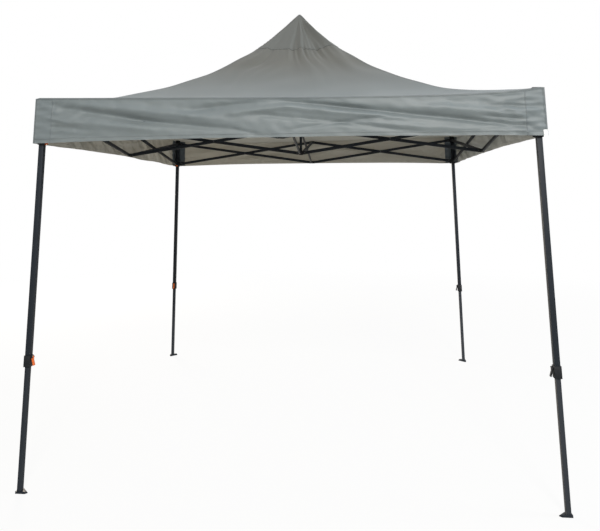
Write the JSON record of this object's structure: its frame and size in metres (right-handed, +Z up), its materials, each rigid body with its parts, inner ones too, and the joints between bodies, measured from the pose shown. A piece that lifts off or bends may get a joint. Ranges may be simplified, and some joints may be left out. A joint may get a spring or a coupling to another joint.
{
  "type": "pop-up gazebo",
  "caption": "Folding canopy shelter with telescopic legs, a scissor truss, a centre pole and a peaked fabric cover with a valance.",
  "frame": {"origin": "on the ground, under the centre pole and midway between the four feet", "axes": "+Z up; the front side faces -Y; +X to the right of someone who faces the front"},
  "size_m": [3, 3, 3.1305],
  "materials": {
    "frame_steel": "dark charcoal powder-coated steel tube, satin",
    "joint_plastic": "black moulded nylon, matte",
    "lock_plastic_orange": "orange moulded nylon",
    "lock_plastic_dark": "dark moulded nylon",
    "polyester": "coated woven polyester, greenish grey, soft wrinkles"
  },
  "bodies": {
    "upper_hub": {"upper_hub": "joint_plastic", "canopy_roof": "polyester", "canopy_valance": "polyester", "peak_patch": "polyester"},
    "centre_pole": {"peak_pole": "frame_steel", "peak_cap": "joint_plastic"},
    "inner_bar_down_front": {"inner_bar_down_front": "frame_steel"},
    "inner_bar_up_front": {"inner_bar_up_front": "frame_steel"},
    "upper_joint_front": {"upper_joint_front": "joint_plastic"},
    "lower_joint_front": {"lower_joint_front": "joint_plastic"},
    "side_bar_down_front_a": {"side_bar_down_front_a": "frame_steel"},
    "side_bar_up_front_a": {"side_bar_up_front_a": "frame_steel"},
    "side_bar_down_front_b": {"side_bar_down_front_b": "frame_steel"},
    "side_bar_up_front_b": {"side_bar_up_front_b": "frame_steel"},
    "inner_bar_down_right": {"inner_bar_down_right": "frame_steel"},
    "inner_bar_up_right": {"inner_bar_up_right": "frame_steel"},
    "upper_joint_right": {"upper_joint_right": "joint_plastic"},
    "lower_joint_right": {"lower_joint_right": "joint_plastic"},
    "side_bar_down_right_a": {"side_bar_down_right_a": "frame_steel"},
    "side_bar_up_right_a": {"side_bar_up_right_a": "frame_steel"},
    "side_bar_down_right_b": {"side_bar_down_right_b": "frame_steel"},
    "side_bar_up_right_b": {"side_bar_up_right_b": "frame_steel"},
    "inner_bar_down_back": {"inner_bar_down_back": "frame_steel"},
    "inner_bar_up_back": {"inner_bar_up_back": "frame_steel"},
    "upper_joint_back": {"upper_joint_back": "joint_plastic"},
    "lower_joint_back": {"lower_joint_back": "joint_plastic"},
    "side_bar_down_back_a": {"side_bar_down_back_a": "frame_steel"},
    "side_bar_up_back_a": {"side_bar_up_back_a": "frame_steel"},
    "side_bar_down_back_b": {"side_bar_down_back_b": "frame_steel"},
    "side_bar_up_back_b": {"side_bar_up_back_b": "frame_steel"},
    "inner_bar_down_left": {"inner_bar_down_left": "frame_steel"},
    "inner_bar_up_left": {"inner_bar_up_left": "frame_steel"},
    "upper_joint_left": {"upper_joint_left": "joint_plastic"},
    "lower_joint_left": {"lower_joint_left": "joint_plastic"},
    "side_bar_down_left_a": {"side_bar_down_left_a": "frame_steel"},
    "side_bar_up_left_a": {"side_bar_up_left_a": "frame_steel"},
    "side_bar_down_left_b": {"side_bar_down_left_b": "frame_steel"},
    "side_bar_up_left_b": {"side_bar_up_left_b": "frame_steel"},
    "lower_hub": {"lower_hub": "joint_plastic"},
    "upper_leg_front_left": {"upper_leg_front_left": "frame_steel"},
    "lower_leg_front_left": {"lower_leg_front_left": "frame_steel"},
    "slider_front_left": {"slider_front_left": "joint_plastic"},
    "slider_lock_front_left": {"slider_lock_front_left": "lock_plastic_orange"},
    "leg_lever_front_left": {"leg_lever_front_left": "lock_plastic_orange"},
    "upper_leg_front_right": {"upper_leg_front_right": "frame_steel"},
    "lower_leg_front_right": {"lower_leg_front_right": "frame_steel"},
    "slider_front_right": {"slider_front_right": "joint_plastic"},
    "slider_lock_front_right": {"slider_lock_front_right": "lock_plastic_dark"},
    "leg_lever_front_right": {"leg_lever_front_right": "lock_plastic_dark"},
    "upper_leg_back_right": {"upper_leg_back_right": "frame_steel"},
    "lower_leg_back_right": {"lower_leg_back_right": "frame_steel"},
    "slider_back_right": {"slider_back_right": "joint_plastic"},
    "slider_lock_back_right": {"slider_lock_back_right": "lock_plastic_dark"},
    "leg_lever_back_right": {"leg_lever_back_right": "lock_plastic_dark"},
    "upper_leg_back_left": {"upper_leg_back_left": "frame_steel"},
    "lower_leg_back_left": {"lower_leg_back_left": "frame_steel"},
    "slider_back_left": {"slider_back_left": "joint_plastic"},
    "slider_lock_back_left": {"slider_lock_back_left": "lock_plastic_orange"},
    "leg_lever_back_left": {"leg_lever_back_left": "lock_plastic_orange"}
  },
  "joints": [
    {"name": "frame_fold", "type": "hinge", "parent": "upper_hub", "child": "inner_bar_down_front", "pos_m": [0.007, -0.032, 2.16], "axis": [1, 0, 0], "range_deg": [0, 76]},
    {"name": "inner_cross_front", "type": "hinge", "parent": "inner_bar_down_front", "child": "inner_bar_up_front", "pos_m": [0, -0.729, 2.056], "axis": [-1, 0, 0], "range_deg": [0, 152]},
    {"name": "upper_joint_turn_front", "type": "hinge", "parent": "inner_bar_up_front", "child": "upper_joint_front", "pos_m": [-0.007, -1.426, 2.16], "axis": [1, 0, 0], "range_deg": [0, 76]},
    {"name": "lower_joint_turn_front", "type": "hinge", "parent": "inner_bar_down_front", "child": "lower_joint_front", "pos_m": [0.007, -1.426, 1.952], "axis": [-1, 0, 0], "range_deg": [0, 76]},
    {"name": "down_bar_fold_front_a", "type": "hinge", "parent": "lower_joint_front", "child": "side_bar_down_front_a", "pos_m": [-0.024, -1.453, 1.952], "axis": [0, 1, 0], "range_deg": [0, 76]},
    {"name": "up_bar_fold_front_a", "type": "hinge", "parent": "upper_joint_front", "child": "side_bar_up_front_a", "pos_m": [-0.024, -1.467, 2.16], "axis": [0, -1, 0], "range_deg": [0, 76]},
    {"name": "down_bar_fold_front_b", "type": "hinge", "parent": "lower_joint_front", "child": "side_bar_down_front_b", "pos_m": [0.024, -1.453, 1.952], "axis": [0, -1, 0], "range_deg": [0, 76]},
    {"name": "up_bar_fold_front_b", "type": "hinge", "parent": "upper_joint_front", "child": "side_bar_up_front_b", "pos_m": [0.024, -1.467, 2.16], "axis": [0, 1, 0], "range_deg": [0, 76]},
    {"name": "inner_fold_right", "type": "hinge", "parent": "upper_hub", "child": "inner_bar_down_right", "pos_m": [0.032, 0.007, 2.16], "axis": [0, 1, 0], "range_deg": [0, 76]},
    {"name": "inner_cross_right", "type": "hinge", "parent": "inner_bar_down_right", "child": "inner_bar_up_right", "pos_m": [0.729, 0, 2.056], "axis": [0, -1, 0], "range_deg": [0, 152]},
    {"name": "upper_joint_turn_right", "type": "hinge", "parent": "inner_bar_up_right", "child": "upper_joint_right", "pos_m": [1.426, -0.007, 2.16], "axis": [0, 1, 0], "range_deg": [0, 76]},
    {"name": "lower_joint_turn_right", "type": "hinge", "parent": "inner_bar_down_right", "child": "lower_joint_right", "pos_m": [1.426, 0.007, 1.952], "axis": [0, -1, 0], "range_deg": [0, 76]},
    {"name": "down_bar_fold_right_a", "type": "hinge", "parent": "lower_joint_right", "child": "side_bar_down_right_a", "pos_m": [1.453, -0.024, 1.952], "axis": [-1, 0, 0], "range_deg": [0, 76]},
    {"name": "up_bar_fold_right_a", "type": "hinge", "parent": "upper_joint_right", "child": "side_bar_up_right_a", "pos_m": [1.467, -0.024, 2.16], "axis": [1, 0, 0], "range_deg": [0, 76]},
    {"name": "down_bar_fold_right_b", "type": "hinge", "parent": "lower_joint_right", "child": "side_bar_down_right_b", "pos_m": [1.453, 0.024, 1.952], "axis": [1, 0, 0], "range_deg": [0, 76]},
    {"name": "up_bar_fold_right_b", "type": "hinge", "parent": "upper_joint_right", "child": "side_bar_up_right_b", "pos_m": [1.467, 0.024, 2.16], "axis": [-1, 0, 0], "range_deg": [0, 76]},
    {"name": "inner_fold_back", "type": "hinge", "parent": "upper_hub", "child": "inner_bar_down_back", "pos_m": [-0.007, 0.032, 2.16], "axis": [-1, 0, 0], "range_deg": [0, 76]},
    {"name": "inner_cross_back", "type": "hinge", "parent": "inner_bar_down_back", "child": "inner_bar_up_back", "pos_m": [0, 0.729, 2.056], "axis": [1, 0, 0], "range_deg": [0, 152]},
    {"name": "upper_joint_turn_back", "type": "hinge", "parent": "inner_bar_up_back", "child": "upper_joint_back", "pos_m": [0.007, 1.426, 2.16], "axis": [-1, 0, 0], "range_deg": [0, 76]},
    {"name": "lower_joint_turn_back", "type": "hinge", "parent": "inner_bar_down_back", "child": "lower_joint_back", "pos_m": [-0.007, 1.426, 1.952], "axis": [1, 0, 0], "range_deg": [0, 76]},
    {"name": "down_bar_fold_back_a", "type": "hinge", "parent": "lower_joint_back", "child": "side_bar_down_back_a", "pos_m": [0.024, 1.453, 1.952], "axis": [0, -1, 0], "range_deg": [0, 76]},
    {"name": "up_bar_fold_back_a", "type": "hinge", "parent": "upper_joint_back", "child": "side_bar_up_back_a", "pos_m": [0.024, 1.467, 2.16], "axis": [0, 1, 0], "range_deg": [0, 76]},
    {"name": "down_bar_fold_back_b", "type": "hinge", "parent": "lower_joint_back", "child": "side_bar_down_back_b", "pos_m": [-0.024, 1.453, 1.952], "axis": [0, 1, 0], "range_deg": [0, 76]},
    {"name": "up_bar_fold_back_b", "type": "hinge", "parent": "upper_joint_back", "child": "side_bar_up_back_b", "pos_m": [-0.024, 1.467, 2.16], "axis": [0, -1, 0], "range_deg": [0, 76]},
    {"name": "inner_fold_left", "type": "hinge", "parent": "upper_hub", "child": "inner_bar_down_left", "pos_m": [-0.032, -0.007, 2.16], "axis": [0, -1, 0], "range_deg": [0, 76]},
    {"name": "inner_cross_left", "type": "hinge", "parent": "inner_bar_down_left", "child": "inner_bar_up_left", "pos_m": [-0.729, 0, 2.056], "axis": [0, 1, 0], "range_deg": [0, 152]},
    {"name": "upper_joint_turn_left", "type": "hinge", "parent": "inner_bar_up_left", "child": "upper_joint_left", "pos_m": [-1.426, 0.007, 2.16], "axis": [0, -1, 0], "range_deg": [0, 76]},
    {"name": "lower_joint_turn_left", "type": "hinge", "parent": "inner_bar_down_left", "child": "lower_joint_left", "pos_m": [-1.426, -0.007, 1.952], "axis": [0, 1, 0], "range_deg": [0, 76]},
    {"name": "down_bar_fold_left_a", "type": "hinge", "parent": "lower_joint_left", "child": "side_bar_down_left_a", "pos_m": [-1.453, 0.024, 1.952], "axis": [1, 0, 0], "range_deg": [0, 76]},
    {"name": "up_bar_fold_left_a", "type": "hinge", "parent": "upper_joint_left", "child": "side_bar_up_left_a", "pos_m": [-1.467, 0.024, 2.16], "axis": [-1, 0, 0], "range_deg": [0, 76]},
    {"name": "down_bar_fold_left_b", "type": "hinge", "parent": "lower_joint_left", "child": "side_bar_down_left_b", "pos_m": [-1.453, -0.024, 1.952], "axis": [-1, 0, 0], "range_deg": [0, 76]},
    {"name": "up_bar_fold_left_b", "type": "hinge", "parent": "upper_joint_left", "child": "side_bar_up_left_b", "pos_m": [-1.467, -0.024, 2.16], "axis": [1, 0, 0], "range_deg": [0, 76]},
    {"name": "lower_hub_turn", "type": "hinge", "parent": "inner_bar_up_front", "child": "lower_hub", "pos_m": [-0.007, -0.032, 1.952], "axis": [1, 0, 0], "range_deg": [0, 76]},
    {"name": "leg_turn_front_left", "type": "hinge", "parent": "side_bar_down_front_a", "child": "upper_leg_front_left", "pos_m": [-1.418, -1.453, 2.16], "axis": [0, -1, 0], "range_deg": [0, 76]},
    {"name": "slider_turn_front_left", "type": "hinge", "parent": "side_bar_up_front_a", "child": "slider_front_left", "pos_m": [-1.418, -1.467, 1.952], "axis": [0, 1, 0], "range_deg": [0, 76]},
    {"name": "leg_extend_front_left", "type": "slide", "parent": "upper_leg_front_left", "child": "lower_leg_front_left", "axis": [0, 0, 1], "range_m": [0, 0.64]},
    {"name": "slider_lock_pull_front_left", "type": "slide", "parent": "slider_front_left", "child": "slider_lock_front_left", "axis": [1, 0, 0], "range_m": [0, 0.004], "stiffness_N_per_m": 800},
    {"name": "leg_lever_flip_front_left", "type": "hinge", "parent": "upper_leg_front_left", "child": "leg_lever_front_left", "pos_m": [-1.435, -1.46, 0.707], "axis": [0, -1, 0], "range_deg": [0, 90]},
    {"name": "leg_turn_front_right", "type": "hinge", "parent": "side_bar_down_right_a", "child": "upper_leg_front_right", "pos_m": [1.453, -1.418, 2.16], "axis": [1, 0, 0], "range_deg": [0, 76]},
    {"name": "slider_turn_front_right", "type": "hinge", "parent": "side_bar_up_right_a", "child": "slider_front_right", "pos_m": [1.467, -1.418, 1.952], "axis": [-1, 0, 0], "range_deg": [0, 76]},
    {"name": "leg_extend_front_right", "type": "slide", "parent": "upper_leg_front_right", "child": "lower_leg_front_right", "axis": [0, 0, 1], "range_m": [0, 0.64]},
    {"name": "slider_lock_pull_front_right", "type": "slide", "parent": "slider_front_right", "child": "slider_lock_front_right", "axis": [-1, 0, 0], "range_m": [0, 0.004], "stiffness_N_per_m": 800},
    {"name": "leg_lever_flip_front_right", "type": "hinge", "parent": "upper_leg_front_right", "child": "leg_lever_front_right", "pos_m": [1.435, -1.46, 0.707], "axis": [0, 1, 0], "range_deg": [0, 90]},
    {"name": "leg_turn_back_right", "type": "hinge", "parent": "side_bar_down_back_a", "child": "upper_leg_back_right", "pos_m": [1.418, 1.453, 2.16], "axis": [0, 1, 0], "range_deg": [0, 76]},
    {"name": "slider_turn_back_right", "type": "hinge", "parent": "side_bar_up_back_a", "child": "slider_back_right", "pos_m": [1.418, 1.467, 1.952], "axis": [0, -1, 0], "range_deg": [0, 76]},
    {"name": "leg_extend_back_right", "type": "slide", "parent": "upper_leg_back_right", "child": "lower_leg_back_right", "axis": [0, 0, 1], "range_m": [0, 0.64]},
    {"name": "slider_lock_pull_back_right", "type": "slide", "parent": "slider_back_right", "child": "slider_lock_back_right", "axis": [-1, 0, 0], "range_m": [0, 0.004], "stiffness_N_per_m": 800},
    {"name": "leg_lever_flip_back_right", "type": "hinge", "parent": "upper_leg_back_right", "child": "leg_lever_back_right", "pos_m": [1.435, 1.46, 0.707], "axis": [0, 1, 0], "range_deg": [0, 90]},
    {"name": "leg_turn_back_left", "type": "hinge", "parent": "side_bar_down_left_a", "child": "upper_leg_back_left", "pos_m": [-1.453, 1.418, 2.16], "axis": [-1, 0, 0], "range_deg": [0, 76]},
    {"name": "slider_turn_back_left", "type": "hinge", "parent": "side_bar_up_left_a", "child": "slider_back_left", "pos_m": [-1.467, 1.418, 1.952], "axis": [1, 0, 0], "range_deg": [0, 76]},
    {"name": "leg_extend_back_left", "type": "slide", "parent": "upper_leg_back_left", "child": "lower_leg_back_left", "axis": [0, 0, 1], "range_m": [0, 0.64]},
    {"name": "slider_lock_pull_back_left", "type": "slide", "parent": "slider_back_left", "child": "slider_lock_back_left", "axis": [0, -1, 0], "range_m": [0, 0.004], "stiffness_N_per_m": 800},
    {"name": "leg_lever_flip_back_left", "type": "hinge", "parent": "upper_leg_back_left", "child": "leg_lever_back_left", "pos_m": [-1.46, 1.435, 0.707], "axis": [-1, 0, 0], "range_deg": [0, 90]},
    {"name": "pole_lower", "type": "slide", "parent": "upper_hub", "child": "centre_pole", "axis": [0, 0, -1], "range_m": [0, 0.78]}
  ],
  "couplings": [
    {"joint": "inner_cross_front", "follows": "frame_fold", "ratio": 2},
    {"joint": "upper_joint_turn_front", "follows": "frame_fold", "ratio": 1},
    {"joint": "lower_joint_turn_front", "follows": "frame_fold", "ratio": 1},
    {"joint": "down_bar_fold_front_a", "follows": "frame_fold", "ratio": 1},
    {"joint": "up_bar_fold_front_a", "follows": "frame_fold", "ratio": 1},
    {"joint": "down_bar_fold_front_b", "follows": "frame_fold", "ratio": 1},
    {"joint": "up_bar_fold_front_b", "follows": "frame_fold", "ratio": 1},
    {"joint": "inner_fold_right", "follows": "frame_fold", "ratio": 1},
    {"joint": "inner_cross_right", "follows": "frame_fold", "ratio": 2},
    {"joint": "upper_joint_turn_right", "follows": "frame_fold", "ratio": 1},
    {"joint": "lower_joint_turn_right", "follows": "frame_fold", "ratio": 1},
    {"joint": "down_bar_fold_right_a", "follows": "frame_fold", "ratio": 1},
    {"joint": "up_bar_fold_right_a", "follows": "frame_fold", "ratio": 1},
    {"joint": "down_bar_fold_right_b", "follows": "frame_fold", "ratio": 1},
    {"joint": "up_bar_fold_right_b", "follows": "frame_fold", "ratio": 1},
    {"joint": "inner_fold_back", "follows": "frame_fold", "ratio": 1},
    {"joint": "inner_cross_back", "follows": "frame_fold", "ratio": 2},
    {"joint": "upper_joint_turn_back", "follows": "frame_fold", "ratio": 1},
    {"joint": "lower_joint_turn_back", "follows": "frame_fold", "ratio": 1},
    {"joint": "down_bar_fold_back_a", "follows": "frame_fold", "ratio": 1},
    {"joint": "up_bar_fold_back_a", "follows": "frame_fold", "ratio": 1},
    {"joint": "down_bar_fold_back_b", "follows": "frame_fold", "ratio": 1},
    {"joint": "up_bar_fold_back_b", "follows": "frame_fold", "ratio": 1},
    {"joint": "inner_fold_left", "follows": "frame_fold", "ratio": 1},
    {"joint": "inner_cross_left", "follows": "frame_fold", "ratio": 2},
    {"joint": "upper_joint_turn_left", "follows": "frame_fold", "ratio": 1},
    {"joint": "lower_joint_turn_left", "follows": "frame_fold", "ratio": 1},
    {"joint": "down_bar_fold_left_a", "follows": "frame_fold", "ratio": 1},
    {"joint": "up_bar_fold_left_a", "follows": "frame_fold", "ratio": 1},
    {"joint": "down_bar_fold_left_b", "follows": "frame_fold", "ratio": 1},
    {"joint": "up_bar_fold_left_b", "follows": "frame_fold", "ratio": 1},
    {"joint": "lower_hub_turn", "follows": "frame_fold", "ratio": 1},
    {"joint": "leg_turn_front_left", "follows": "frame_fold", "ratio": 1},
    {"joint": "slider_turn_front_left", "follows": "frame_fold", "ratio": 1},
    {"joint": "leg_turn_front_right", "follows": "frame_fold", "ratio": 1},
    {"joint": "slider_turn_front_right", "follows": "frame_fold", "ratio": 1},
    {"joint": "leg_turn_back_right", "follows": "frame_fold", "ratio": 1},
    {"joint": "slider_turn_back_right", "follows": "frame_fold", "ratio": 1},
    {"joint": "leg_turn_back_left", "follows": "frame_fold", "ratio": 1},
    {"joint": "slider_turn_back_left", "follows": "frame_fold", "ratio": 1},
    {"joint": "pole_lower", "follows": "frame_fold", "m_per_rad": 0.58}
  ]
}
